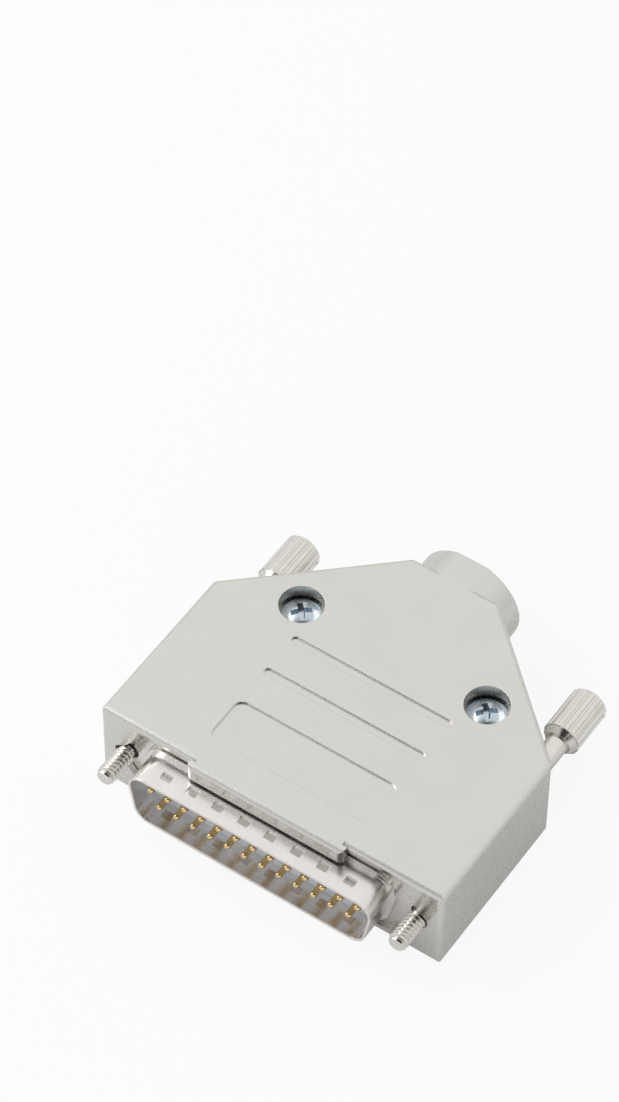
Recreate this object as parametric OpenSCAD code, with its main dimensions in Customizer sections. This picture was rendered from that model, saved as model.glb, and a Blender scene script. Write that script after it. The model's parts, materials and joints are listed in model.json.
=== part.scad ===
// Metal hood for a 25-way D-sub connector: two die-cast half shells, two cover
// screws, two knurled jackscrews, a two-part strain-relief clamp and the plug.
// Millimetres. z = 0 is the underside of the base shell, x = 0 the middle plane,
// y = 0 the rear face of the plug's flange, and +y points towards the cable.

/* [Shells] */
// Thickness of the large plates of base and cover
plate_t = 1.3; // [1.2:0.05:1.7]
// Thickness of the side walls and of the tapered walls
wall_t = 1.2; // [1.1:0.05:1.4]
// Wall left outside the ends of the plug's flange
slot_wall = 0.75; // [0.65:0.05:1]
// How far the plates reach in front of the flange's rear face
front_reach = 2.0; // [1.8:0.1:2.4]
// Place of the shoulders, where the tapered walls start
shoulder_y = 24.5; // [24:0.1:26]
// Place of the end face that carries the collar
end_y = 43.2; // [42.8:0.1:45]
// Width of that end face
end_w = 14; // [13.6:0.1:15]
// Radius of the outer edges of both shells
edge_r = 0.8; // [0.5:0.05:1]
// Radius of the upright corners at the shoulders
corner_r = 1.6; // [1:0.1:2.5]
// Width of the lip in the middle of the front edge
lip_w = 25; // [20:0.5:30]
// How far the lip stands in front of the plates
lip_out = 1.3; // [1:0.1:1.6]
// Height of the lip
lip_h = 2.6; // [2:0.05:2.65]

/* [Shell interior] */
// Floor level behind the step
back_floor = 1.8; // [1.75:0.05:2]
// Place of the step in the floor
step_y = 16.2; // [14:0.1:18]
// Thickness of the walls beside the jackscrews
channel_wall = 0.75; // [0.6:0.05:0.9]
// Height of these walls below the parting plane
channel_drop = 0.5; // [0.3:0.1:1]
// Length of the corner blocks behind the flange
block_len = 2.8; // [2:0.1:4]
// Height of the tongue on the base's walls that laps into the cover
lap_h = 0.35; // [0.25:0.05:0.35]
// Place of the support rib under each jackscrew
mid_rib_y = 15.4; // [12:0.1:18]
// Thickness of the ribs
rib_t = 0.9; // [0.7:0.1:1.2]
// Distance from a tapered wall's outer face to the rib along it
rib_inset = 7.0; // [6:0.1:7.5]

/* [Collar] */
// How far the collar stands out of the end face
collar_out = 4.2; // [3:0.1:6]
// Wall of the collar at the parting plane; the plates' planes cut it flat above and below
collar_wall = 1.85; // [1.7:0.05:2]

/* [Cover screws] */
// Distance of each screw from the wall beside the jackscrew
post_inset = 5.7; // [5.2:0.05:6.2]
// Distance of the screws from the flange's rear face
post_y = 27.7; // [27:0.1:28.2]
// Diameter of the posts
post_d = 6.6; // [6:0.1:7.2]
// Height of the posts' shoulders and of the ribs beside them, from the underside
post_h = 6.8; // [6:0.1:7.2]
// Diameter of the spigot on the post
spigot_d = 4.5; // [4.2:0.1:5]
// Thread diameter of the cover screws
screw_d = 3.0; // [2.5:0.1:3.2]
// Length of the cover screws under the head
screw_len = 10; // [9:0.1:10.2]
// Diameter of the screw head
screw_head_d = 5.8; // [5.2:0.1:6]
// Height of the screw head
screw_head_h = 2.3; // [1.8:0.1:2.8]
// Depth of the well under the cover's top
well_depth = 3.6; // [3.2:0.1:4]
// Wall of the bosses under the cover's wells
boss_wall = 1.0; // [0.8:0.1:1.3]

/* [Jackscrews] */
// Distance of each jackscrew from the end of the flange
jack_inset = 3.0; // [2.9:0.02:3.1]
// Outside diameter of the thread, 4-40 UNC
jack_thread_d = 2.84; // [2.6:0.02:2.9]
// Length from the shoulder to the tip
jack_front = 7.0; // [6:0.1:8]
// Length of the plain neck behind the thread
jack_neck = 1.8; // [1.4:0.1:2.4]
// Diameter of the shank
jack_shank_d = 3.2; // [3.1:0.05:3.5]
// Diameter of the knurled head
jack_head_d = 5.5; // [5:0.1:6]
// Length of the knurled head
jack_head_len = 8.4; // [6:0.1:10]
// Gap between the head and the tapered wall
jack_head_gap = 2.0; // [1:0.1:4]
// Number of flutes round the head
jack_flutes = 16; // [12:1:20]

/* [Strain relief clamp] */
// Diameter of the cable passage
cable_d = 8.8; // [7:0.1:9]
// Outside diameter of the clamp's tube
clamp_d = 10.8; // [10.4:0.1:11]
// Outside diameter of the ring at its rear end
clamp_ring_d = 11.9; // [11.4:0.1:12]
// Place of the front face of the clamp's flanges
clamp_y = 35.5; // [35:0.1:36]
// Thickness of each of the two flanges
clamp_flange_t = 1.1; // [0.9:0.1:1.2]
// Groove between the two flanges
clamp_groove = 1.6; // [1.2:0.1:1.8]
// Width of the flanges
clamp_flange_w = 12.4; // [12:0.1:12.8]
// Length of the trough in front of the flanges
clamp_front = 4.2; // [3:0.1:5]

/* [Plug connector] */
// Length of the flange beyond each side of the can
ear_w = 6.02; // [5.9:0.02:6.2]
// Height of the flange
flange_h = 12.5; // [12.3:0.05:12.7]
// Thickness of each shell's sheet
sheet_t = 0.5; // [0.4:0.05:0.55]
// Diameter of the holes in the flange
flange_hole_d = 3.04; // [3:0.02:3.06]
// Outside width of the D-shaped shell at its wide side
plug_w = 39.76; // [39.4:0.02:40]
// Outside height of the D-shaped shell
plug_h = 9.16; // [8.9:0.02:9.2]
// How far the D-shaped shell stands in front of the flange
plug_len = 5.9; // [5.5:0.1:6.2]
// How much wider the can behind the flange is than the D-shaped shell, each side
can_step = 0.62; // [0.5:0.02:0.7]
// Height of the can behind the flange
can_h = 10.7; // [10.4:0.1:11]
// Length of the can behind the flange
can_len = 4.6; // [4:0.1:6]
// Distance between neighbouring pins in a row
pin_pitch = 2.77; // [2.7:0.01:2.8]
// Distance between the two rows of pins
row_pitch = 2.84; // [2.7:0.01:3]
// Diameter of the pins
pin_d = 1.0; // [0.9:0.02:1.1]
// Outside diameter of the solder cups
cup_d = 1.5; // [1.4:0.05:1.7]
// Length of the solder cups
cup_len = 3.8; // [3:0.1:5]

/* [Clearances] */
// Gap round anything that turns or slides
run_gap = 0.08; // [0.05:0.01:0.1]
// Gap between a screw and its threaded bore
thread_gap = 0.05; // [0.02:0.01:0.08]
// Gap each side of the flange in its slot
slot_gap = 0.08; // [0.05:0.01:0.12]
// Gap between each end of the flange and the shells
end_gap = 0.13; // [0.1:0.01:0.2]
// Total play of the flange between base and cover
flange_play = 0.1; // [0.05:0.01:0.15]
// Gap round the clamp in its pocket and collar
clamp_gap = 0.15; // [0.1:0.01:0.2]
// Total play of the two clamp halves between base and cover
clamp_play = 0.06; // [0.04:0.01:0.1]

/* [Hidden] */
ROW_A = 13;
ROW_B = 12;
PINS = [for (i = [1:ROW_A + ROW_B]) str("pin_", i)];
$fn = 32;

NICKEL = [0.80, 0.79, 0.76];
BRIGHT_NICKEL = [0.84, 0.83, 0.80];
ZINC = [0.70, 0.76, 0.82];
BLACK_PLASTIC = [0.10, 0.09, 0.09];
TINNED_STEEL = [0.82, 0.79, 0.77];
PALE_PLASTIC = [0.75, 0.78, 0.82];
GOLD = [0.83, 0.66, 0.38];

over = 1;                                   // how far a cutter passes its surface
can_w = plug_w + 2 * can_step;
flange_w = can_w + 2 * ear_w;
hood_h = flange_h + flange_play + 2 * plate_t;
hood_w = flange_w + 2 * (end_gap + slot_wall);
reach = hood_w * 1.5;                       // longer than anything it has to span
parting = hood_h / 2;
front_y = -front_reach;
half_w = hood_w / 2;
taper_run = half_w - end_w / 2;
taper_rise = end_y - shoulder_y;
taper_angle = atan2(taper_rise, taper_run); // between a tapered wall and the x axis
jack_x = flange_w / 2 - jack_inset;
jack_r = jack_shank_d / 2;
channel_x = can_w / 2 + 0.25;               // inner face of the walls beside the jackscrews
channel_top = parting - channel_drop;
post_x = channel_x - post_inset;
plug_z = plate_t + flange_h / 2;            // the flange stands on the base's floor
front_corner_r = 0.8;
clamp_z = parting - clamp_play / 2;         // axis of the clamp and of the cable
clamp_depth = clamp_z - back_floor;         // the lower half stands on the back floor
pocket_y = clamp_y - clamp_gap;
pocket_end = clamp_y + 2 * clamp_flange_t + clamp_groove + clamp_gap;
pocket_w = clamp_flange_w + 2 * clamp_gap;
pocket_wall = 0.8;
saddle_t = 1;                               // wall in front of the pocket
yoke_t = 1.3;
yoke_end = clamp_y - clamp_front + yoke_t;  // rear face of the yoke at the clamp's front
collar_bore = clamp_ring_d + 2 * clamp_gap;
collar_d = collar_bore + 2 * collar_wall;
collar_end = end_y + collar_out;
spigot_top = parting + 0.1;
seat_z = hood_h - well_depth;
well_d = screw_head_d + 0.6;
boss_d = well_d + 2 * boss_wall;

hood_outline = [[-half_w, front_y], [half_w, front_y], [half_w, shoulder_y],
    [end_w / 2, end_y], [-end_w / 2, end_y], [-half_w, shoulder_y]];
hood_radii = [front_corner_r, front_corner_r, corner_r, corner_r, corner_r, corner_r];

// Height of the tapered wall's outer face above the flange at a distance x from the middle
function taper_y(x) = shoulder_y + (half_w - x) * taper_rise / taper_run;
jack_head_y = taper_y(jack_x - jack_head_d / 2) + jack_head_gap;

// ---- plan outlines ----

function unit(v) = v / norm(v);
function half_angle(a, b, c) = acos(unit(a - b) * unit(c - b)) / 2;
// The point at distance d from both edges that meet at b
function inner_point(a, b, c, d) =
    b + unit(unit(a - b) + unit(c - b)) * d / sin(half_angle(a, b, c));
function before(p, i) = p[(i + len(p) - 1) % len(p)];
function after(p, i) = p[(i + 1) % len(p)];
// A convex outline moved inwards by d
function inset(p, d) = [for (i = [0:len(p) - 1]) inner_point(before(p, i), p[i], after(p, i), d)];

// A convex outline whose corner i is rounded with radius r[i]
module rounded(p, r) {
    polygon([for (i = [0:len(p) - 1])
        let (back = r[i] / tan(half_angle(before(p, i), p[i], after(p, i))))
        each [p[i] + unit(before(p, i) - p[i]) * back, p[i] + unit(after(p, i) - p[i]) * back]]);
    for (i = [0:len(p) - 1])
        translate(inner_point(before(p, i), p[i], after(p, i), r[i])) circle(r[i]);
}

module rounded_rect(w, h, r) {
    rounded([[-w / 2, -h / 2], [w / 2, -h / 2], [w / 2, h / 2], [-w / 2, h / 2]], [r, r, r, r]);
}

// A slot with round ends along x
module stadium(w, d) {
    square([w - d, d], center = true);
    for (s = [-1, 1]) translate([s * (w - d) / 2, 0]) circle(d = d);
}

// The D shape of the connector, seen from the front, with its wide side up
module d_shape(w, h, r) {
    narrow = w / 2 - h * tan(10);
    rounded([[-narrow, -h / 2], [narrow, -h / 2], [w / 2, h / 2], [-w / 2, h / 2]], [r, r, r, r]);
}

// ---- placing ----

// Turns a shape drawn along +z to run along +y
module along_y() { rotate([-90, 0, 0]) children(); }
// Extrudes a front view, drawn in x and z, from y0 to y1
module front_view(y0, y1) {
    translate([0, y1, 0]) rotate([90, 0, 0]) linear_extrude(y1 - y0) children();
}
module both_sides() { for (s = [0, 1]) mirror([s, 0, 0]) children(); }
module cylinder_y(x, z, y0, y1, d) {
    translate([x, y0, z]) along_y() cylinder(h = y1 - y0, d = d);
}
// Coordinates along the right-hand tapered wall: x runs up the wall from the
// shoulder, y points into the hood from the wall's outer face
module on_taper() {
    translate([half_w, shoulder_y, 0]) rotate([0, 0, 180 - taper_angle]) children();
}

// ---- what base and cover have in common, drawn as the base ----

// Everything on the inner side of the outline's edge from p to q, with its outer edge rounded
module rolled_side(p, q) {
    translate([p.x, p.y, 0]) rotate([0, 0, atan2(q.y - p.y, q.x - p.x)]) rotate([90, 0, 90])
        translate([0, 0, -reach]) linear_extrude(norm(q - p) + 2 * reach) {
            translate([0, edge_r]) square([reach, parting - edge_r]);
            translate([edge_r, 0]) square([reach, parting]);
            translate([edge_r, edge_r]) circle(edge_r);
        }
}

module half_block() {
    intersection() {
        linear_extrude(parting) rounded(hood_outline, hood_radii);
        intersection_for (i = [0:len(hood_outline) - 1])
            rolled_side(hood_outline[i], after(hood_outline, i));
    }
}

module inside(d, h) {
    linear_extrude(h) polygon(inset(hood_outline, d));
}

// Plate and walls, open at the front
module tray() {
    open_outline = [for (p = hood_outline) p.y < 0 ? [p.x, p.y - reach] : p];
    difference() {
        half_block();
        translate([0, 0, plate_t]) linear_extrude(parting) polygon(inset(open_outline, wall_t));
    }
    intersection() {
        inside(wall_t / 2, back_floor);
        translate([-reach, step_y, 0]) cube([2 * reach, reach, back_floor]);
    }
}

// Lip in the middle of the front edge
module lip() {
    lip_y = front_y - lip_out;
    intersection() {
        translate([-lip_w / 2, lip_y, 0]) cube([lip_w, lip_out - 0.1, lip_h]);
        translate([0, lip_y + edge_r, 0]) rotate([90, 0, 90]) translate([0, 0, -reach])
            linear_extrude(2 * reach) {
                translate([-edge_r, edge_r]) square([reach, lip_h]);
                square([reach, lip_h]);
                translate([0, edge_r]) circle(edge_r);
            }
        linear_extrude(lip_h) translate([0, lip_y + lip_w / 2]) rounded_rect(lip_w, lip_w, edge_r);
    }
    translate([-lip_w / 2 + edge_r, front_y - 0.1, 0]) cube([lip_w - 2 * edge_r, edge_r + 0.1, plate_t]);
}

// Cheeks in front of the flange's ends, and blocks behind them that carry the jackscrews
module corner_blocks() {
    cheek_x = channel_x + 0.5;
    intersection() {
        half_block();
        both_sides() {
            front_view(front_y, 0)
                polygon([[cheek_x, 0], [half_w, 0], [half_w, parting],
                    [half_w - 2 * wall_t, parting], [cheek_x, 2 * plate_t]]);
            translate([channel_x, 0, 0]) cube([half_w - channel_x, slot_gap + block_len, parting]);
        }
    }
}

// Walls beside the jackscrews and the notched rib half way along them
module channels() {
    foot = 1.3;
    intersection() {
        inside(wall_t / 2, parting);
        both_sides() {
            translate([channel_x, 0, 0]) cube([channel_wall, reach, channel_top]);
            front_view(mid_rib_y, mid_rib_y + rib_t)
                polygon([[channel_x - foot, 0], [half_w, 0], [half_w, channel_top],
                    [channel_x, channel_top], [channel_x - foot, back_floor]]);
        }
    }
}

// Front saddle, side walls and rear block of the pocket that holds the clamp's flanges
module clamp_pocket() {
    w = pocket_w + 2 * pocket_wall;
    apron = pocket_y - saddle_t - yoke_end - clamp_gap;
    translate([-w / 2, pocket_y - saddle_t, 0]) cube([w, saddle_t, parting]);
    both_sides() translate([pocket_w / 2, pocket_y, 0])
        cube([pocket_wall, pocket_end - pocket_y, parting]);
    intersection() {
        translate([-w / 2, pocket_end, 0]) cube([w, end_y - pocket_end, parting]);
        half_block();
    }
    translate([-w / 2, pocket_y - saddle_t, 0]) rotate([90, 0, 90]) linear_extrude(w)
        polygon([[0, 0], [0, back_floor + apron], [-apron, back_floor], [-apron, 0]]);
}

module collar_half() {
    intersection() {
        cylinder_y(0, parting, pocket_end, collar_end, collar_d);
        translate([-reach, 0, 0]) cube([2 * reach, reach, parting]);
    }
}

// Ribs along and across the tapered walls
module taper_ribs() {
    post_along = (half_w - post_x) * cos(taper_angle) + (post_y - shoulder_y) * sin(taper_angle);
    cross_step = 6;
    intersection() {
        inside(wall_t / 2, post_h);
        both_sides() intersection() {
            translate([pocket_w / 2, 0, 0]) cube([channel_x - pocket_w / 2, reach, post_h]);
            on_taper() {
                translate([-reach / 2, rib_inset - rib_t, 0]) cube([reach, rib_t, post_h]);
                for (at = [post_along, post_along + cross_step])
                    translate([at - rib_t / 2, 0, 0]) cube([rib_t, rib_inset, post_h]);
            }
        }
    }
}

// Where the jackscrews pass over the tapered walls
module jack_passage() {
    both_sides() cylinder_y(jack_x, parting, shoulder_y - over, end_y, jack_shank_d + 0.5);
}

// Small bumps inside the collar that grip the clamp's tube
module collar_bumps() {
    bump_r = 0.6;
    proud = 0.35;
    both_sides() translate([0, collar_end - 2.9, parting]) rotate([0, 46, 0])
        translate([0, 0, -collar_bore / 2 - bump_r + proud]) sphere(bump_r);
}

// What is cut through everything for the flange, the jackscrews and the clamp
module half_cuts() {
    slot_half = flange_w / 2 + end_gap;
    translate([-slot_half, -sheet_t * 2 - slot_gap, plate_t])
        cube([2 * slot_half, 2 * (sheet_t + slot_gap), reach]);
    both_sides() {
        cylinder_y(jack_x, parting, front_y - over, 0, jack_thread_d + 0.5);
        cylinder_y(jack_x, parting, 0, shoulder_y, jack_shank_d + 2 * run_gap);
    }
    jack_passage();
    cylinder_y(0, parting, yoke_end, pocket_y + over, clamp_d + 2 * clamp_gap);
    cylinder_y(0, parting, pocket_end - over, collar_end + over, collar_bore);
}

module half_shell() {
    difference() {
        union() {
            tray();
            lip();
            corner_blocks();
            channels();
            clamp_pocket();
            collar_half();
            taper_ribs();
        }
        half_cuts();
    }
    collar_bumps();
}

// Tongue on the inner half of the base's walls and collar, from the parting plane up. With
// a gap, and passing the walls' inner faces, it is the rebate in the cover that takes it
module wall_lap(gap, past) {
    wall_from = slot_gap + block_len + 0.5 - gap;
    wall_to = pocket_end - 1 + gap;
    collar_from = pocket_end + 0.5 - gap;
    collar_to = collar_end - 0.6 + gap;
    translate([0, 0, parting - past]) {
        intersection() {
            difference() {
                inside(wall_t / 2 - gap, past + lap_h + gap);
                inside(wall_t + past, reach);
            }
            translate([-reach, wall_from, 0]) cube([2 * reach, wall_to - wall_from, reach]);
        }
        both_sides() translate([collar_bore / 2 - past, collar_from, 0])
            cube([past + collar_wall / 2 + gap, collar_to - collar_from, past + lap_h + gap]);
    }
}

// ---- base and cover ----

module at_posts() {
    both_sides() translate([post_x, post_y, 0]) children();
}

module ejector_marks() {
    depth = 0.12;
    both_sides() {
        translate([channel_x - 4.25, 4.5, plate_t - depth]) cylinder(h = depth + over, r = 2.5);
        translate([channel_x - 3.95, step_y + 3.7, back_floor - depth]) cylinder(h = depth + over, r = 1.9);
    }
}

// Shallow ledge in front of the step in the floor, with a pad at each end
module floor_ledge() {
    ledge_len = 5;
    pad_len = 3.6;
    pad_w = 4;
    rise = back_floor - plate_t;
    translate([-channel_x, step_y - ledge_len, 0]) cube([2 * channel_x, ledge_len, plate_t + rise * 0.2]);
    both_sides() translate([channel_x - pad_w, step_y - pad_len, 0])
        cube([pad_w, pad_len, plate_t + rise * 0.4]);
}

// Post with a flared foot, a shoulder and a spigot that centres the cover
module post() {
    flare = 0.5;
    edge = 0.25;
    r = post_d / 2;
    spigot_r = spigot_d / 2;
    rotate_extrude() polygon([[0, 0], [r + flare, 0], [r + flare, back_floor], [r, back_floor + flare],
        [r, post_h - edge], [r - edge, post_h], [spigot_r, post_h], [spigot_r, spigot_top - edge],
        [spigot_r - edge, spigot_top], [0, spigot_top]]);
}

module base_shell() {
    color(NICKEL) difference() {
        union() {
            half_shell();
            floor_ledge();
            at_posts() post();
            wall_lap(0, 0);
        }
        jack_passage();
        at_posts() translate([0, 0, seat_z - screw_len - 0.6])
            cylinder(h = reach, d = screw_d + 2 * thread_gap);
        ejector_marks();
    }
}

// Two narrow grooves and a wide field pressed into the cover's top
module cover_grooves() {
    depth = 0.3;
    groove_w = 25.8;
    groove_t = 1.3;
    field_h = 7.4;
    field_y = front_y + 4.4;
    gap = 5.2;
    translate([0, 0, hood_h - depth]) linear_extrude(depth + over) {
        translate([0, field_y + field_h / 2]) rounded_rect(groove_w, field_h, 1.4);
        for (i = [1, 2]) translate([0, field_y + field_h + i * (gap + groove_t) - groove_t / 2])
            stadium(groove_w, groove_t);
    }
}

module cover_shell() {
    boss_foot = post_h + 0.1;
    color(NICKEL) difference() {
        union() {
            translate([0, 0, hood_h]) mirror([0, 0, 1]) half_shell();
            at_posts() translate([0, 0, boss_foot]) cylinder(h = hood_h - plate_t / 2 - boss_foot, d = boss_d);
        }
        at_posts() {
            translate([0, 0, seat_z]) cylinder(h = reach, d = well_d);
            translate([0, 0, parting - over]) cylinder(h = reach, d = screw_d + 2 * run_gap);
            translate([0, 0, boss_foot - over])
                cylinder(h = spigot_top + 0.1 - boss_foot + over, d = spigot_d + 2 * run_gap);
        }
        wall_lap(slot_gap, 0.2);
        cover_grooves();
    }
}

// ---- fasteners ----

// Pan-head screw with a cross recess, its head's underside at z = 0
module cover_screw() {
    dome = screw_head_h * 0.45;
    head_r = screw_head_d / 2;
    dome_r = (head_r * head_r + dome * dome) / (2 * dome);
    recess = screw_head_d * 0.52;
    difference() {
        union() {
            cylinder(h = screw_head_h - dome, d = screw_head_d);
            intersection() {
                translate([0, 0, screw_head_h - dome_r]) sphere(dome_r);
                translate([0, 0, screw_head_h - dome - 0.01]) cylinder(h = dome + over, d = screw_head_d);
            }
            translate([0, 0, 0.5 - screw_len]) cylinder(h = screw_len, d = screw_d);
            translate([0, 0, -screw_len]) cylinder(h = 0.5, d1 = screw_d - 1, d2 = screw_d);
        }
        for (a = [0, 90]) rotate([0, 0, a + 45]) translate([-recess / 2, -0.4, screw_head_h - 1.3])
            cube([recess, 0.8, 3]);
    }
}

// Long knurled screw along +y, with its shoulder at y = 0
module jackscrew() {
    head_at = jack_head_y - slot_gap;
    head_end = head_at + jack_head_len;
    head_r = jack_head_d / 2;
    nose = 0.9;
    thread_r = jack_thread_d / 2;
    neck_r = thread_r - 0.35;
    along_y() difference() {
        rotate_extrude() polygon([[0, -jack_front], [thread_r - 0.5, -jack_front],
            [thread_r, 0.5 - jack_front], [thread_r, -jack_neck - 0.3], [neck_r, -jack_neck],
            [neck_r, 0], [jack_r, 0], [jack_r, head_at], [head_r - 0.8, head_at],
            [head_r - 0.15, head_at + nose], [head_r, head_at + nose],
            [head_r, head_end - 0.3], [head_r - 0.3, head_end], [0, head_end]]);
        for (i = [0:jack_flutes - 1]) rotate([0, 0, i * 360 / jack_flutes])
            translate([head_r + 0.04, 0, head_at + nose]) cylinder(h = jack_head_len, r = 0.24);
        translate([-reach / 2, -0.45, head_end - 1.1]) cube([reach, 0.9, 2]);
    }
}

module cover_screw_at(side) {
    color(ZINC) translate([side * post_x, post_y, seat_z]) cover_screw();
}
module jackscrew_at(side) {
    color(BRIGHT_NICKEL) translate([side * jack_x, slot_gap, parting]) jackscrew();
}

// ---- strain relief ----

// Half of the clamp round the y axis, below z = 0: a trough with a yoke, two
// flanges and a tube with an end ring, one locating pin and one socket
module clamp_half() {
    tube_end = collar_end - 0.2;
    flange_end = clamp_y + 2 * clamp_flange_t + clamp_groove;
    rail_w = clamp_ring_d - 0.4;
    rail_h = 1.1;
    pin_x = (cable_d + clamp_flange_w) / 4;
    pin_y = clamp_y + clamp_flange_t + clamp_groove / 2;
    pin_r = 0.5;
    boss_r = 0.8;
    difference() {
        union() {
            cylinder_y(0, 0, clamp_y - clamp_front, tube_end, clamp_d);
            cylinder_y(0, 0, tube_end - 1.2, tube_end, clamp_ring_d);
            for (y = [clamp_y, flange_end - clamp_flange_t])
                front_view(y, y + clamp_flange_t) rounded_rect(clamp_flange_w, 2 * clamp_depth, 1.2);
            front_view(yoke_end - yoke_t, yoke_end)
                rounded_rect(clamp_flange_w, 2 * clamp_depth, 2.4);
            both_sides() translate([pin_x, pin_y, -clamp_depth + 1.5]) cylinder(h = clamp_depth, r = boss_r);
            translate([-rail_w / 2, flange_end, -rail_h])
                cube([rail_w, tube_end - flange_end, rail_h]);
        }
        cylinder_y(0, 0, 0, collar_end + over, cable_d);
        translate([-reach, -reach, 0]) cube(2 * reach);
        translate([-pin_x, pin_y, -1.2]) cylinder(h = 2, r = pin_r + 0.08);
        translate([0, clamp_y - (clamp_front - yoke_t) / 2, -reach]) cylinder(h = reach, d = 2);
    }
    translate([pin_x, pin_y, -0.5]) cylinder(h = 1.0, r = pin_r);
    translate([pin_x, pin_y, 0.5]) sphere(pin_r);
}

module clamp_lower() {
    color(BLACK_PLASTIC) translate([0, 0, clamp_z]) clamp_half();
}
module clamp_upper() {
    color(BLACK_PLASTIC) translate([0, 0, clamp_z]) rotate([0, 180, 0]) clamp_half();
}

// ---- plug ----

shell_r = 2.5;                              // corner radius of the D-shaped shell
drawn_w = plug_w + 1.64;                    // the raised step round the D-shaped shell
drawn_h = plug_h + 1.84;
drawn_len = 1.0;
wall_in = 0.4;                              // sheet thickness after drawing
flange_front = -2 * sheet_t;
face_y = flange_front - 0.9;                // front face of the insulator
cup_y = can_len + 0.5;                      // rear face of the insulator, where the cups start
fit = 0.02;                                 // gap between insulators, shells and pins

module flange_sheet(y0) {
    front_view(y0, y0 + sheet_t) difference() {
        rounded_rect(flange_w, flange_h, 1.6);
        for (s = [-1, 1]) translate([s * jack_x, 0]) circle(d = flange_hole_d);
        children();
    }
}

// Prisms with a sloping face along both long sides of the D-shaped shell, their
// flat face a distance in from its outside; they swell inwards by depth
module at_dimples(in, depth) {
    dimples = 8;
    dimple_pitch = 4.2;
    dimple_w = 1.6;
    dimple_len = 1.4;
    for (side = [0, 1], i = [0:dimples - 1])
        mirror([0, 0, side]) translate([(i - (dimples - 1) / 2) * dimple_pitch - dimple_w / 2,
            flange_front - drawn_len - 3.4, plug_h / 2 - in])
            rotate([90, 0, 90]) linear_extrude(dimple_w)
                polygon([[0, 0], [0, -0.03], [dimple_len, -depth], [dimple_len, 0]]);
}

module plug_front_shell() {
    pressed = 0.25;
    color(TINNED_STEEL) translate([0, 0, plug_z]) {
        flange_sheet(flange_front) d_shape(drawn_w - 2 * wall_in, drawn_h - 2 * wall_in, shell_r + 0.5);
        front_view(flange_front - drawn_len + wall_in, flange_front) difference() {
            d_shape(drawn_w, drawn_h, shell_r + 0.9);
            d_shape(drawn_w - 2 * wall_in, drawn_h - 2 * wall_in, shell_r + 0.5);
        }
        front_view(flange_front - drawn_len, flange_front - drawn_len + wall_in) difference() {
            d_shape(drawn_w, drawn_h, shell_r + 0.9);
            d_shape(plug_w - 2 * wall_in, plug_h - 2 * wall_in, shell_r - wall_in);
        }
        difference() {
            union() {
                front_view(flange_front - plug_len, flange_front - drawn_len) difference() {
                    d_shape(plug_w, plug_h, shell_r);
                    d_shape(plug_w - 2 * wall_in, plug_h - 2 * wall_in, shell_r - wall_in);
                }
                at_dimples(wall_in - 0.05, pressed);
            }
            at_dimples(-0.05, pressed + 0.05);
        }
    }
}

module plug_rear_shell() {
    inner_w = can_w - 2 * wall_in;
    inner_h = can_h - 2 * wall_in;
    color(TINNED_STEEL) translate([0, 0, plug_z]) {
        flange_sheet(-sheet_t) rounded_rect(inner_w, inner_h, 1);
        front_view(0, can_len) difference() {
            rounded_rect(can_w, can_h, 1.4);
            rounded_rect(inner_w, inner_h, 1);
        }
    }
}

// Place of pin i, counted from 1, in a front view
function pin_at(i) = i <= ROW_A
    ? [(i - 1 - (ROW_A - 1) / 2) * pin_pitch, row_pitch / 2]
    : [(i - ROW_A - 1 - (ROW_B - 1) / 2) * pin_pitch, -row_pitch / 2];

module pin_holes() {
    for (i = [1:ROW_A + ROW_B]) translate(pin_at(i)) circle(d = pin_d + 2 * fit, $fn = 24);
}

module front_insulator() {
    color(PALE_PLASTIC) translate([0, 0, plug_z]) {
        front_view(flange_front - drawn_len + wall_in + fit, -sheet_t) difference() {
            d_shape(drawn_w - 2 * wall_in - 2 * fit, drawn_h - 2 * wall_in - 2 * fit, shell_r + 0.5);
            pin_holes();
        }
        front_view(face_y - drawn_len, flange_front - drawn_len + wall_in + fit) difference() {
            d_shape(plug_w - 2 * wall_in - 2 * fit, plug_h - 2 * wall_in - 2 * fit, shell_r - wall_in);
            pin_holes();
        }
    }
}

module rear_insulator() {
    color(PALE_PLASTIC) translate([0, 0, plug_z]) front_view(-sheet_t, cup_y) difference() {
        rounded_rect(can_w - 2 * (wall_in + fit), can_h - 2 * (wall_in + fit), 1);
        pin_holes();
    }
}

// A pin along +y with its solder cup, which bears on the rear insulator
module pin(i) {
    tip = flange_front - plug_len + 0.8;
    r = pin_d / 2;
    color(GOLD) translate([pin_at(i).x, 0, plug_z + pin_at(i).y]) difference() {
        union() {
            translate([0, tip + r, 0]) sphere(r, $fn = 24);
            cylinder_y(0, 0, tip + r, cup_y, pin_d, $fn = 24);
            cylinder_y(0, 0, cup_y, cup_y + cup_len, cup_d, $fn = 24);
        }
        cylinder_y(0, 0, cup_y + 0.8, cup_y + cup_len + over, cup_d - 0.5, $fn = 24);
        translate([-cup_d, cup_y + cup_len / 2, 0.25]) cube([2 * cup_d, cup_len, cup_d]);
    }
}

base_shell();
cover_shell();
cover_screw_at(-1);  // cover_screw_left
cover_screw_at(1);  // cover_screw_right
jackscrew_at(-1);  // jackscrew_left
jackscrew_at(1);  // jackscrew_right
clamp_lower();
clamp_upper();
plug_front_shell();
plug_rear_shell();
front_insulator();
rear_insulator();
for (i = [1:ROW_A + ROW_B]) pin(i);
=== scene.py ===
import json
import math

import bmesh
import bpy
from bpy.props import (
    FloatProperty,
    FloatVectorProperty,
    IntProperty,
    PointerProperty,
    StringProperty,
)
from bpy.types import Operator, Panel, PropertyGroup
from mathutils import Matrix, Vector


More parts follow.
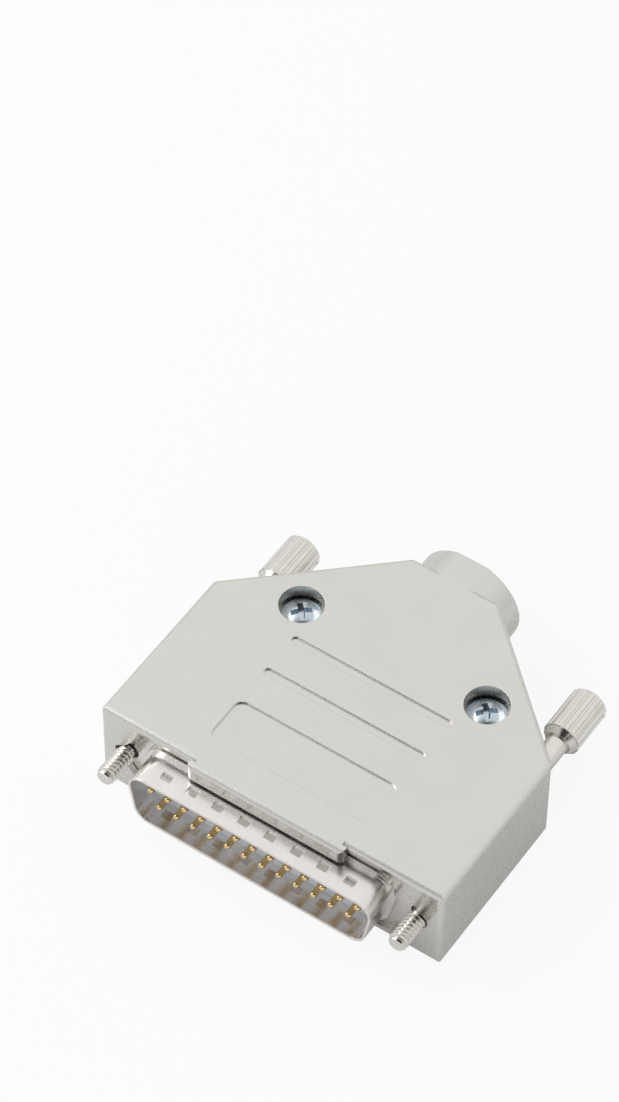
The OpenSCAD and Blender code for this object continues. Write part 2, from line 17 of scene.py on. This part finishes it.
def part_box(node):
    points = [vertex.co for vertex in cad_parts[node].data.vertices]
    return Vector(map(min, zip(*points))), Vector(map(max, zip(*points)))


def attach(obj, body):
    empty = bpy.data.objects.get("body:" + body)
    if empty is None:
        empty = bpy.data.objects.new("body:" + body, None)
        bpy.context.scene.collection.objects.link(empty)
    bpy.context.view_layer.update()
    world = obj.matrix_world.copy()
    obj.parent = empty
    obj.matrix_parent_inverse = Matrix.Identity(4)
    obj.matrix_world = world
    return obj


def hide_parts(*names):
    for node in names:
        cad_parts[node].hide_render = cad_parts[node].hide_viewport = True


bl_info = {
    "name": "D-sub hood",
    "version": (1, 0, 0),
    "blender": (4, 5, 0),
    "location": "View3D > Sidebar > Hood",
    "description": "Finishes, threads, marks and studio for a metal D-sub hood",
    "category": "Object",
}

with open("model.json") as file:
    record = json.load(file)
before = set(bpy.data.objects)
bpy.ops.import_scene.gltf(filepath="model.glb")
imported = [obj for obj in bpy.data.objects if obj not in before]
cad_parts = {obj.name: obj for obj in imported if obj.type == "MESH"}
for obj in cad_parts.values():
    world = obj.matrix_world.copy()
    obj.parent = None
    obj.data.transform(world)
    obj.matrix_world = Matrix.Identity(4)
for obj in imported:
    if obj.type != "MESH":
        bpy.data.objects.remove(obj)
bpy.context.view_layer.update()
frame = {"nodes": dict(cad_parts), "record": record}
NODES = frame["nodes"]
MOUNTS = {mount["name"]: mount for mount in frame["record"]["mounts"]}
PINS = sorted(name for name in NODES if name.startswith("pin_"))
MM = 0.001
SHARP = math.radians(28)  # an edge between faces that turn more than this stays crisp
END_CHAMFER = 0.6 * MM  # length of the lead-in on the free end of every thread


# ---- settings ----


def colour(name, description, default):
    return FloatVectorProperty(
        name=name, description=description, subtype="COLOR", size=3, min=0.0, max=1.0, default=default
    )


def length(name, description, default):
    return FloatProperty(name=name, description=description, default=default, min=0.0, unit="LENGTH")


def factor(name, description, default):
    return FloatProperty(
        name=name, description=description, default=default, min=0.0, max=1.0, subtype="FACTOR"
    )


def angle(name, description, degrees):
    return FloatProperty(
        name=name, description=description, default=math.radians(degrees), subtype="ANGLE"
    )


def offset(name, description, default):
    return FloatProperty(name=name, description=description, default=default, unit="LENGTH")


def power(name, description, default):
    return FloatProperty(name=name, description=description, default=default, min=0.0, unit="POWER")


def position(name, description, default):
    return FloatVectorProperty(
        name=name, description=description, subtype="TRANSLATION", unit="LENGTH", size=3, default=default
    )


class HoodFinish(PropertyGroup):
    nickel: colour("Nickel", "Plating of the two die-cast shells", (0.72, 0.71, 0.68))
    nickel_roughness: factor("Nickel roughness", "How satin the plating on the shells is", 0.27)
    cast_grain: length("Casting grain", "Size of the fine grain on the cast faces", 0.35 * MM)
    bright_nickel: colour("Bright nickel", "Plating of the jackscrews", (0.80, 0.78, 0.74))
    zinc: colour("Zinc", "Bluish plating of the cover screws", (0.62, 0.69, 0.76))
    tin: colour("Tin", "Plating of the plug's drawn shells", (0.86, 0.83, 0.81))
    gold: colour("Gold", "Flash on the plug's pins", (0.80, 0.60, 0.32))
    black: colour("Black plastic", "Moulding of the cable clamp", (0.018, 0.015, 0.015))
    pale: colour("Pale plastic", "Moulding of the plug's insulators", (0.66, 0.71, 0.79))


class HoodThreads(PropertyGroup):
    jack_pitch: length("Jackscrew pitch", "Pitch of the 4-40 thread", 0.635 * MM)
    screw_pitch: length("Cover screw pitch", "Pitch of the cover screws' thread", 0.5 * MM)
    screw_d: length("Cover screw diameter", "Outside diameter of the cover screws' thread", 3.0 * MM)
    screw_length: length("Cover screw length", "Length of the cover screws under the head", 10.0 * MM)
    depth_share: factor("Thread depth", "Depth of both threads, as a share of the pitch", 0.58)
    steps: IntProperty(
        name="Steps a turn", description="Flats in one turn of a thread", default=40, min=12, max=96
    )


class HoodMark(PropertyGroup):
    text: StringProperty(
        name="Number", description="Contact count cast into the base's floor", default="25"
    )
    height: length("Height", "Height of the digits", 3.2 * MM)
    relief: length("Relief", "How far the digits stand out of the floor", 0.12 * MM)
    edge: length("Edge", "Rounding of the digits' edges", 0.02 * MM)
    across: offset("Across", "Middle of the number, from the hood's middle plane", -5.5 * MM)
    behind: length("Behind the plug", "From the rear insulator to the digits' feet", 1.2 * MM)
    floor_z: length("Floor", "Height of the base's floor over its underside", 1.3 * MM)


class HoodStudio(PropertyGroup):
    azimuth: angle("Azimuth", "Camera's turn round the hood", 33.8)
    elevation: angle("Elevation", "Camera's height over the floor", 51.4)
    roll: angle("Roll", "Camera's turn about its own axis", 0.6)
    distance: length("Distance", "From the camera to the plane through the hood's origin", 592.0 * MM)
    across: offset("Across", "Camera's place to the right of the origin", 3.9 * MM)
    above: offset("Above", "Camera's place above the origin", 41.3 * MM)
    lens: FloatProperty(name="Lens", description="Focal length in millimetres", default=143.8, min=10.0)
    floor: colour("Floor", "Colour of the studio floor", (0.94, 0.94, 0.94))
    floor_radius: length("Floor radius", "Reach of the studio floor", 600.0 * MM)
    floor_glow: factor("Floor glow", "Share of the floor that the camera sees as white light", 0.88)
    backdrop: colour("Backdrop", "What the camera sees past the floor", (0.973, 0.973, 0.973))
    world: factor("World light", "Strength of the even light from all round", 0.6)
    tent_low: colour("Tent, low", "What gloss reflects from the side and below", (0.72, 0.71, 0.69))
    tent_high: colour("Tent, high", "What gloss reflects from above", (0.92, 0.92, 0.91))
    opening: colour("Tent opening", "What gloss reflects from round the camera", (0.035, 0.028, 0.024))
    key: power("Key lamp", "Power of the large soft lamp", 2.6)
    key_place: position("Key place", "Place of the large soft lamp", (-0.62, -0.12, 0.48))
    key_size: length("Key size", "Side of the large soft lamp", 0.7)
    fill: power("Fill lamp", "Power of the second lamp", 1.0)
    fill_place: position("Fill place", "Place of the second lamp", (0.3, -0.7, 0.28))
    fill_size: length("Fill size", "Side of the second lamp", 0.5)


# ---- materials ----


class Shading:
    """Builds one material's nodes, each call adding a node and linking what it reads."""

    def __init__(self, name):
        self.material = bpy.data.materials.new(name)
        self.material.use_nodes = True
        self.nodes = self.material.node_tree.nodes
        self.links = self.material.node_tree.links
        self.surface = self.nodes["Principled BSDF"]
        self.place = self.nodes.new("ShaderNodeTexCoord").outputs["Object"]

    def link(self, output, node, socket):
        self.links.new(output, node.inputs[socket])

    def stretched(self, scale):
        """Object coordinates in units of scale along each axis."""
        mapping = self.nodes.new("ShaderNodeMapping")
        mapping.inputs["Scale"].default_value = [1.0 / s for s in scale]
        self.link(self.place, mapping, "Vector")
        return mapping.outputs["Vector"]

    def noise(self, size, detail=3.0, place=None):
        """Noise with features about as large as size, in metres or in the units of place."""
        node = self.nodes.new("ShaderNodeTexNoise")
        node.inputs["Scale"].default_value = 1.0 / size
        node.inputs["Detail"].default_value = detail
        self.link(place or self.place, node, "Vector")
        return node.outputs["Fac"]

    def map_range(self, value, low, high, start, end):
        """From low to high, as value goes from start to end."""
        node = self.nodes.new("ShaderNodeMapRange")
        node.inputs["From Min"].default_value = start
        node.inputs["From Max"].default_value = end
        node.inputs["To Min"].default_value = low
        node.inputs["To Max"].default_value = high
        self.link(value, node, "Value")
        return node.outputs["Result"]

    def spread(self, noise, low, high):
        """From low to high over the middle values, where most of a noise lies."""
        return self.map_range(noise, low, high, 0.3, 0.7)

    def math(self, operation, a, b):
        node = self.nodes.new("ShaderNodeMath")
        node.operation = operation
        for index, value in enumerate((a, b)):
            if isinstance(value, (int, float)):
                node.inputs[index].default_value = value
            else:
                self.links.new(value, node.inputs[index])
        return node.outputs["Value"]

    def tinted(self, fac, low, high):
        node = self.nodes.new("ShaderNodeMix")
        node.data_type = "RGBA"
        node.inputs["A"].default_value = (*low, 1.0)
        node.inputs["B"].default_value = (*high, 1.0)
        self.link(fac, node, "Factor")
        return node.outputs["Result"]

    def rounded_edges(self, radius):
        node = self.nodes.new("ShaderNodeBevel")
        node.samples = 6
        node.inputs["Radius"].default_value = radius
        return node.outputs["Normal"]

    def edge_mask(self, rounded):
        """0 on flats, rising to 1 over the rounded edges."""
        geometry = self.nodes.new("ShaderNodeNewGeometry")
        node = self.nodes.new("ShaderNodeVectorMath")
        node.operation = "DOT_PRODUCT"
        self.links.new(geometry.outputs["Normal"], node.inputs[0])
        self.links.new(rounded, node.inputs[1])
        return self.map_range(node.outputs["Value"], 1.0, 0.0, 0.85, 0.995)

    def bump(self, height, distance, strength, normal):
        node = self.nodes.new("ShaderNodeBump")
        node.inputs["Distance"].default_value = distance
        node.inputs["Strength"].default_value = strength
        self.link(height, node, "Height")
        self.link(normal, node, "Normal")
        return node.outputs["Normal"]

    def surfaced(self, tone, rough, normal, metallic=0.0):
        """The material, with its three maps linked."""
        self.link(tone, self.surface, "Base Color")
        self.link(rough, self.surface, "Roughness")
        self.link(normal, self.surface, "Normal")
        self.surface.inputs["Metallic"].default_value = metallic
        return self.material


def shade(tone, amount):
    return tuple(min(1.0, c * amount) for c in tone)


def plated_cast(finish):
    """Satin nickel on die-cast zinc: fine grain, brighter rubbed edges, faint flow marks."""
    s = Shading("satin_nickel")
    satin = finish.nickel_roughness
    edge = s.rounded_edges(0.1 * MM)
    worn = s.edge_mask(edge)
    grain = s.noise(finish.cast_grain, 4.0)
    cloud = s.noise(7.0 * MM, 4.0)
    tone = s.tinted(s.spread(cloud, 0.0, 1.0), shade(finish.nickel, 0.975), finish.nickel)
    rough = s.spread(cloud, satin - 0.02, satin + 0.025)
    rough = s.math("ADD", rough, s.map_range(grain, -0.03, 0.03, 0.35, 0.65))
    rough = s.math("SUBTRACT", rough, s.math("MULTIPLY", worn, 0.06))
    flow = s.bump(cloud, 0.03 * MM, 0.25, edge)
    return s.surfaced(tone, rough, s.bump(grain, 0.03 * MM, 0.22, flow), metallic=1.0)


def turned_metal(name, tone, roughness, edge, along):
    """Plated turned metal with fine tool marks round the axis along."""
    s = Shading(name)
    size = [4.0 * MM] * 3
    size["XYZ".index(along)] = 0.09 * MM
    marks = s.noise(1.0, 2.0, s.stretched(size))
    patch = s.noise(1.6 * MM, 3.0)
    plating = s.tinted(s.spread(patch, 0.0, 1.0), shade(tone, 0.93), tone)
    rough = s.math(
        "ADD", s.spread(marks, roughness - 0.03, roughness + 0.05), s.spread(patch, -0.02, 0.04)
    )
    normal = s.bump(marks, 0.006 * MM, 0.3, s.rounded_edges(edge))
    return s.surfaced(plating, rough, normal, metallic=1.0)


def drawn_sheet(name, tone, roughness, edge):
    """Tin plate on drawn sheet: soft ripples and fine rolling lines."""
    s = Shading(name)
    ripple = s.noise(2.6 * MM, 2.0)
    lines = s.noise(1.0, 2.0, s.stretched((5.0 * MM, 0.25 * MM, 0.25 * MM)))
    plating = s.tinted(s.spread(ripple, 0.0, 1.0), shade(tone, 0.95), tone)
    rough = s.math(
        "ADD", s.spread(ripple, roughness - 0.03, roughness + 0.04), s.spread(lines, -0.02, 0.03)
    )
    normal = s.bump(ripple, 0.03 * MM, 0.25, s.rounded_edges(edge))
    return s.surfaced(plating, rough, normal, metallic=1.0)


def moulded(name, tone, roughness, edge, texture):
    """Injection-moulded plastic with a faint spark-eroded texture."""
    s = Shading(name)
    grain = s.noise(texture, 3.0)
    cloud = s.noise(3.0 * MM, 3.0)
    plastic = s.tinted(s.spread(cloud, 0.0, 1.0), shade(tone, 0.85), shade(tone, 1.1))
    rough = s.spread(cloud, roughness - 0.05, roughness + 0.07)
    return s.surfaced(plastic, rough, s.bump(grain, 0.02 * MM, 0.3, s.rounded_edges(edge)))


def dress(node, material):
    """Puts one material on a piece, or on a CAD node as packed."""
    piece = NODES[node] if isinstance(node, str) else node
    piece.data.materials.clear()
    piece.data.materials.append(material)


# ---- shared modelling ----


def finished_piece(name, mesh, body, slot, material, *nodes):
    """Links a mesh as a piece that rides on a body and stands for the CAD nodes named."""
    piece = bpy.data.objects.new(name, mesh)
    bpy.context.scene.collection.objects.link(piece)
    dress(piece, material)
    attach(piece, body)
    if nodes:
        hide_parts(*nodes)


def cut_copy(node, point, away):
    """A merged copy of a CAD node's mesh, without what lies past point in the direction away."""
    bm = bmesh.new()
    bm.from_mesh(NODES[node].data)
    bmesh.ops.remove_doubles(bm, verts=bm.verts, dist=0.0005 * MM)
    everything = bm.verts[:] + bm.edges[:] + bm.faces[:]
    bmesh.ops.bisect_plane(bm, geom=everything, plane_co=point, plane_no=away, clear_outer=True)
    bmesh.ops.holes_fill(bm, edges=[edge for edge in bm.edges if edge.is_boundary])
    return bm


def threaded_rod(outside_r, pitch, depth, span, steps):
    """A rod along +Z from 0 to span with a V thread, its free end at 0 with a lead-in."""
    bm = bmesh.new()
    root_r = outside_r - depth
    # One turn, as radius and share of the pitch: flat root, flank, flat crest, flank.
    profile = [(root_r, 0.0), (root_r, 0.12), (outside_r, 0.5), (outside_r, 0.62), (root_r, 1.0)]
    turns = math.ceil(span / pitch) + 2
    verts = [bm.verts.new((r, 0.0, (share - 1.0) * pitch)) for r, share in profile]
    edges = [bm.edges.new(pair) for pair in zip(verts, verts[1:])]
    bmesh.ops.spin(
        bm, geom=verts + edges, cent=(0, 0, 0), axis=(0, 0, 1), dvec=(0, 0, pitch / steps),
        angle=2 * math.pi * turns, steps=steps * turns,
    )
    bmesh.ops.remove_doubles(bm, verts=bm.verts, dist=pitch / 400)
    for height, side in ((0.0, -1), (span, 1)):
        everything = bm.verts[:] + bm.edges[:] + bm.faces[:]
        bmesh.ops.bisect_plane(
            bm, geom=everything, plane_co=(0, 0, height), plane_no=(0, 0, side), clear_outer=True
        )
    bmesh.ops.holes_fill(bm, edges=[edge for edge in bm.edges if edge.is_boundary])
    fade = 0.5 * pitch
    # The crest dies down to a tenth of the thread's depth at either end.
    for vert in bm.verts:
        runout = min(vert.co.z / END_CHAMFER, (span - vert.co.z) / fade, 1.0)
        limit = root_r + depth * (0.1 + 0.9 * runout)
        reach = vert.co.xy.length
        if reach > limit:
            vert.co.xy *= limit / reach
    bmesh.ops.recalc_face_normals(bm, faces=bm.faces)
    return bm


def joined(name, parts):
    """One mesh of several bmeshes, smooth but for edges sharper than SHARP."""
    mesh = bpy.data.meshes.new(name)
    whole = bmesh.new()
    for part in parts:
        part.to_mesh(mesh)
        whole.from_mesh(mesh)
        part.free()
    for face in whole.faces:
        face.smooth = True
    for edge in whole.edges:
        if edge.is_manifold and edge.calc_face_angle() > SHARP:
            edge.smooth = False
    whole.to_mesh(mesh)
    whole.free()
    return mesh


def turned_to(bm, start, direction):
    """Moves a rod built along +Z so that it starts at start and runs in direction."""
    turn = Vector((0, 0, 1)).rotation_difference(Vector(direction)).to_matrix().to_4x4()
    bmesh.ops.transform(bm, matrix=Matrix.Translation(start) @ turn, verts=bm.verts)


# ---- pieces ----


class HOOD_OT_shells(Operator):
    """Finish the base and cover as satin nickel-plated castings"""

    bl_idname = "hood.shells"
    bl_label = "Shells"

    def execute(self, context):
        material = plated_cast(context.scene.hood_finish)
        for node in ("base_shell", "cover_shell"):
            dress(node, material)
        return {"FINISHED"}


class HOOD_OT_number(Operator):
    """Cast the contact count into the base's floor"""

    bl_idname = "hood.number"
    bl_label = "Number"
    digit_share = 0.7  # height of a digit, as a share of the font's size

    def execute(self, context):
        mark = context.scene.hood_mark
        plug_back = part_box("rear_insulator")[1].y
        curve = bpy.data.curves.new("number", "FONT")
        curve.body = mark.text
        curve.size = mark.height / self.digit_share
        curve.align_x = "CENTER"
        curve.extrude = mark.relief
        curve.bevel_depth = mark.edge
        text = bpy.data.objects.new("number_text", curve)
        context.scene.collection.objects.link(text)
        context.view_layer.update()
        mesh = bpy.data.meshes.new_from_object(text.evaluated_get(context.evaluated_depsgraph_get()))
        bpy.data.objects.remove(text)
        mesh.transform(Matrix.Translation((mark.across, plug_back + mark.behind, mark.floor_z)))
        material = NODES["base_shell"].data.materials[0]
        finished_piece("count_number", mesh, "base", "nickel_zinc", material)
        return {"FINISHED"}


class HOOD_OT_jackscrews(Operator):
    """Make the two jackscrews with cut threads in front of their necks"""

    bl_idname = "hood.jackscrews"
    bl_label = "Jackscrews"
    into_neck = 0.4 * MM  # how far the threaded rod runs on into the neck
    neck_cut = 0.32 * MM  # how far behind the thread the plain body begins

    def execute(self, context):
        threads = context.scene.hood_threads
        finish = context.scene.hood_finish
        material = turned_metal("bright_nickel", finish.bright_nickel, 0.13, 0.08 * MM, "Y")
        for side in ("left", "right"):
            node = "jackscrew_" + side
            mount = MOUNTS[node + "_thread"]
            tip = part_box(node)[0].y
            axis = Vector(mount["pos_m"])
            thread_end = axis.y + mount["dims"]["length_mm"] * MM / 2
            radius = mount["dims"]["r_mm"] * MM
            depth = threads.jack_pitch * threads.depth_share
            span = thread_end + self.into_neck - tip
            rod = threaded_rod(radius, threads.jack_pitch, depth, span, threads.steps)
            turned_to(rod, (axis.x, tip, axis.z), (0, 1, 0))
            body = cut_copy(node, (0, thread_end + self.neck_cut, 0), (0, -1, 0))
            mesh = joined(node, [body, rod])
            finished_piece("threaded_" + node, mesh, node, "bright_nickel", material, node)
        return {"FINISHED"}


class HOOD_OT_cover_screws(Operator):
    """Make the two cover screws with cut threads under their heads"""

    bl_idname = "hood.cover_screws"
    bl_label = "Cover screws"
    below_head = 0.1 * MM  # how far the threaded rod stops short of the head
    head_cut = 0.3 * MM  # length of plain shank kept under the head

    def execute(self, context):
        threads = context.scene.hood_threads
        material = turned_metal("blue_zinc", context.scene.hood_finish.zinc, 0.22, 0.12 * MM, "Z")
        for side in ("left", "right"):
            node = "cover_screw_" + side
            low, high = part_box(node)
            middle = (low + high) / 2
            depth = threads.screw_pitch * threads.depth_share
            span = threads.screw_length - self.below_head
            radius = threads.screw_d / 2
            rod = threaded_rod(radius, threads.screw_pitch, depth, span, threads.steps)
            turned_to(rod, (middle.x, middle.y, low.z), (0, 0, 1))
            under_head = low.z + threads.screw_length
            head = cut_copy(node, (0, 0, under_head - self.head_cut), (0, 0, -1))
            mesh = joined(node, [head, rod])
            finished_piece("threaded_" + node, mesh, node, "zinc_steel", material, node)
        return {"FINISHED"}


class HOOD_OT_clamp(Operator):
    """Finish the two cable clamp halves as black mouldings"""

    bl_idname = "hood.clamp"
    bl_label = "Cable clamp"

    def execute(self, context):
        material = moulded("black_moulding", context.scene.hood_finish.black, 0.33, 0.12 * MM, 0.12 * MM)
        for node in ("clamp_lower", "clamp_upper"):
            dress(node, material)
        return {"FINISHED"}


class HOOD_OT_plug(Operator):
    """Finish the plug's shells, insulators and pins"""

    bl_idname = "hood.plug"
    bl_label = "Plug"

    def execute(self, context):
        finish = context.scene.hood_finish
        tin = drawn_sheet("tin_plate", finish.tin, 0.24, 0.15 * MM)
        pale = moulded("pale_moulding", finish.pale, 0.4, 0.06 * MM, 0.15 * MM)
        gold = turned_metal("gold_flash", finish.gold, 0.2, 0.05 * MM, "Y")
        for node in ("plug_front_shell", "plug_rear_shell"):
            dress(node, tin)
        for node in ("front_insulator", "rear_insulator"):
            dress(node, pale)
        for node in PINS:
            dress(node, gold)
        return {"FINISHED"}


# ---- studio ----


class HOOD_OT_studio(Operator):
    """Lay the floor and set the lamps, the surroundings and the camera"""

    bl_idname = "hood.studio"
    bl_label = "Studio"
    tent_top = 0.6  # height in the unit sphere from which the tent is at its palest
    opening_edge = 0.62  # cosine of the angle from the camera where the opening begins
    opening_full = 0.92  # and where it is at its darkest

    def execute(self, context):
        studio = context.scene.hood_studio
        context.scene.view_settings.view_transform = "Standard"
        self.lay_floor(context.scene, studio)
        self.surround(context.scene, studio)
        self.add_lamp(context.scene, "key_lamp", studio.key_place, studio.key_size, studio.key)
        self.add_lamp(context.scene, "fill_lamp", studio.fill_place, studio.fill_size, studio.fill)
        self.set_camera(context.scene, studio)
        return {"FINISHED"}

    def lay_floor(self, scene, studio):
        """A matt disc that the camera sees as nearly white, with the shadows left on it."""
        mesh = bpy.data.meshes.new("floor")
        bm = bmesh.new()
        bmesh.ops.create_circle(bm, cap_ends=True, segments=96, radius=studio.floor_radius)
        bm.to_mesh(mesh)
        bm.free()
        floor = bpy.data.objects.new("floor", mesh)
        scene.collection.objects.link(floor)
        material = bpy.data.materials.new("floor")
        material.use_nodes = True
        nodes, links = material.node_tree.nodes, material.node_tree.links
        matt = nodes["Principled BSDF"]
        matt.inputs["Base Color"].default_value = (*studio.floor, 1.0)
        matt.inputs["Roughness"].default_value = 0.9
        matt.inputs["Specular IOR Level"].default_value = 0.0
        glow = nodes.new("ShaderNodeEmission")
        ray = nodes.new("ShaderNodeLightPath")
        share = nodes.new("ShaderNodeMath")
        share.operation = "MULTIPLY"
        share.inputs[1].default_value = studio.floor_glow
        links.new(ray.outputs["Is Camera Ray"], share.inputs[0])
        seen = self.mixed(material.node_tree, share.outputs["Value"], matt, glow)
        links.new(seen, nodes["Material Output"].inputs["Surface"])
        mesh.materials.append(material)

    def surround(self, scene, studio):
        """White to the camera, even light for matt faces, a pale tent with a dark opening for gloss."""
        world = bpy.data.worlds.new("studio")
        scene.world = world
        world.use_nodes = True
        tree = world.node_tree
        ray = tree.nodes.new("ShaderNodeLightPath")
        matt = tree.nodes["Background"]
        matt.inputs["Color"].default_value = (1.0, 1.0, 1.0, 1.0)
        matt.inputs["Strength"].default_value = studio.world
        gloss = tree.nodes.new("ShaderNodeBackground")
        tree.links.new(self.tent(tree, studio), gloss.inputs["Color"])
        backdrop = tree.nodes.new("ShaderNodeBackground")
        backdrop.inputs["Color"].default_value = (*studio.backdrop, 1.0)
        lit = self.mixed(tree, ray.outputs["Is Glossy Ray"], matt, gloss)
        seen = self.mixed(tree, ray.outputs["Is Camera Ray"], lit.node, backdrop)
        tree.links.new(seen, tree.nodes["World Output"].inputs["Surface"])

    def tent(self, tree, studio):
        """A colour that pales with height, and darkens round the camera."""
        nodes, links = tree.nodes, tree.links
        place = nodes.new("ShaderNodeTexCoord").outputs["Generated"]
        height = nodes.new("ShaderNodeSeparateXYZ")
        links.new(place, height.inputs["Vector"])
        walls = nodes.new("ShaderNodeValToRGB")
        low, high = walls.color_ramp.elements
        low.position, low.color = 0.0, (*studio.tent_low, 1.0)
        high.position, high.color = self.tent_top, (*studio.tent_high, 1.0)
        links.new(height.outputs["Z"], walls.inputs["Fac"])
        toward = nodes.new("ShaderNodeVectorMath")
        toward.operation = "DOT_PRODUCT"
        toward.inputs[1].default_value = self.view_direction(studio)
        links.new(place, toward.inputs[0])
        near_camera = nodes.new("ShaderNodeMapRange")
        near_camera.inputs["From Min"].default_value = self.opening_edge
        near_camera.inputs["From Max"].default_value = self.opening_full
        links.new(toward.outputs["Value"], near_camera.inputs["Value"])
        tent = nodes.new("ShaderNodeMix")
        tent.data_type = "RGBA"
        tent.inputs["B"].default_value = (*studio.opening, 1.0)
        links.new(near_camera.outputs["Result"], tent.inputs["Factor"])
        links.new(walls.outputs["Color"], tent.inputs["A"])
        return tent.outputs["Result"]

    def mixed(self, tree, fac, first, second):
        """Shader first where fac is 0, and second where it is 1."""
        mix = tree.nodes.new("ShaderNodeMixShader")
        tree.links.new(fac, mix.inputs["Fac"])
        tree.links.new(first.outputs[0], mix.inputs[1])
        tree.links.new(second.outputs[0], mix.inputs[2])
        return mix.outputs["Shader"]

    def add_lamp(self, scene, name, place, size, power):
        """A square lamp that faces the origin."""
        lamp = bpy.data.lights.new(name, "AREA")
        lamp.size = size
        lamp.energy = power
        holder = bpy.data.objects.new(name, lamp)
        scene.collection.objects.link(holder)
        holder.location = place
        holder.rotation_euler = (-Vector(place)).to_track_quat("-Z", "Y").to_euler()

    def view_direction(self, studio):
        """From the hood towards the camera."""
        turn, rise = studio.azimuth, studio.elevation
        return Vector((math.sin(turn) * math.cos(rise), -math.cos(turn) * math.cos(rise), math.sin(rise)))

    def set_camera(self, scene, studio):
        back = self.view_direction(studio)
        right = Vector((math.cos(studio.azimuth), math.sin(studio.azimuth), 0.0))
        up = back.cross(right)
        camera = bpy.data.cameras.new("camera")
        camera.lens = studio.lens
        camera.clip_start = 0.01
        holder = bpy.data.objects.new("camera", camera)
        scene.collection.objects.link(holder)
        place = back * studio.distance + right * studio.across + up * studio.above
        facing = Matrix((right, up, back)).transposed() @ Matrix.Rotation(studio.roll, 3, "Z")
        holder.matrix_world = Matrix.Translation(place) @ facing.to_4x4()
        scene.camera = holder


class HOOD_PT_panel(Panel):
    """Lists the hood's pieces and their settings"""

    bl_idname = "HOOD_PT_panel"
    bl_label = "D-sub hood"
    bl_space_type = "VIEW_3D"
    bl_region_type = "UI"
    bl_category = "Hood"

    def draw(self, context):
        for group in SETTINGS:
            box = self.layout.box()
            settings = getattr(context.scene, group)
            for name in type(settings).__annotations__:
                box.prop(settings, name)
        for operator in OPERATORS:
            self.layout.operator(operator.bl_idname)


SETTINGS = {
    "hood_finish": HoodFinish,
    "hood_threads": HoodThreads,
    "hood_mark": HoodMark,
    "hood_studio": HoodStudio,
}
OPERATORS = (
    HOOD_OT_shells,
    HOOD_OT_number,
    HOOD_OT_jackscrews,
    HOOD_OT_cover_screws,
    HOOD_OT_clamp,
    HOOD_OT_plug,
    HOOD_OT_studio,
)


def register():
    for cls in (*SETTINGS.values(), *OPERATORS, HOOD_PT_panel):
        bpy.utils.register_class(cls)
    for name, cls in SETTINGS.items():
        setattr(bpy.types.Scene, name, PointerProperty(type=cls))


def unregister():
    for name in SETTINGS:
        delattr(bpy.types.Scene, name)
    for cls in reversed((*SETTINGS.values(), *OPERATORS, HOOD_PT_panel)):
        bpy.utils.unregister_class(cls)


def main():
    register()
    for operator in OPERATORS:
        getattr(bpy.ops.hood, operator.bl_idname.split(".")[1])()


if __name__ == "__main__":
    main()
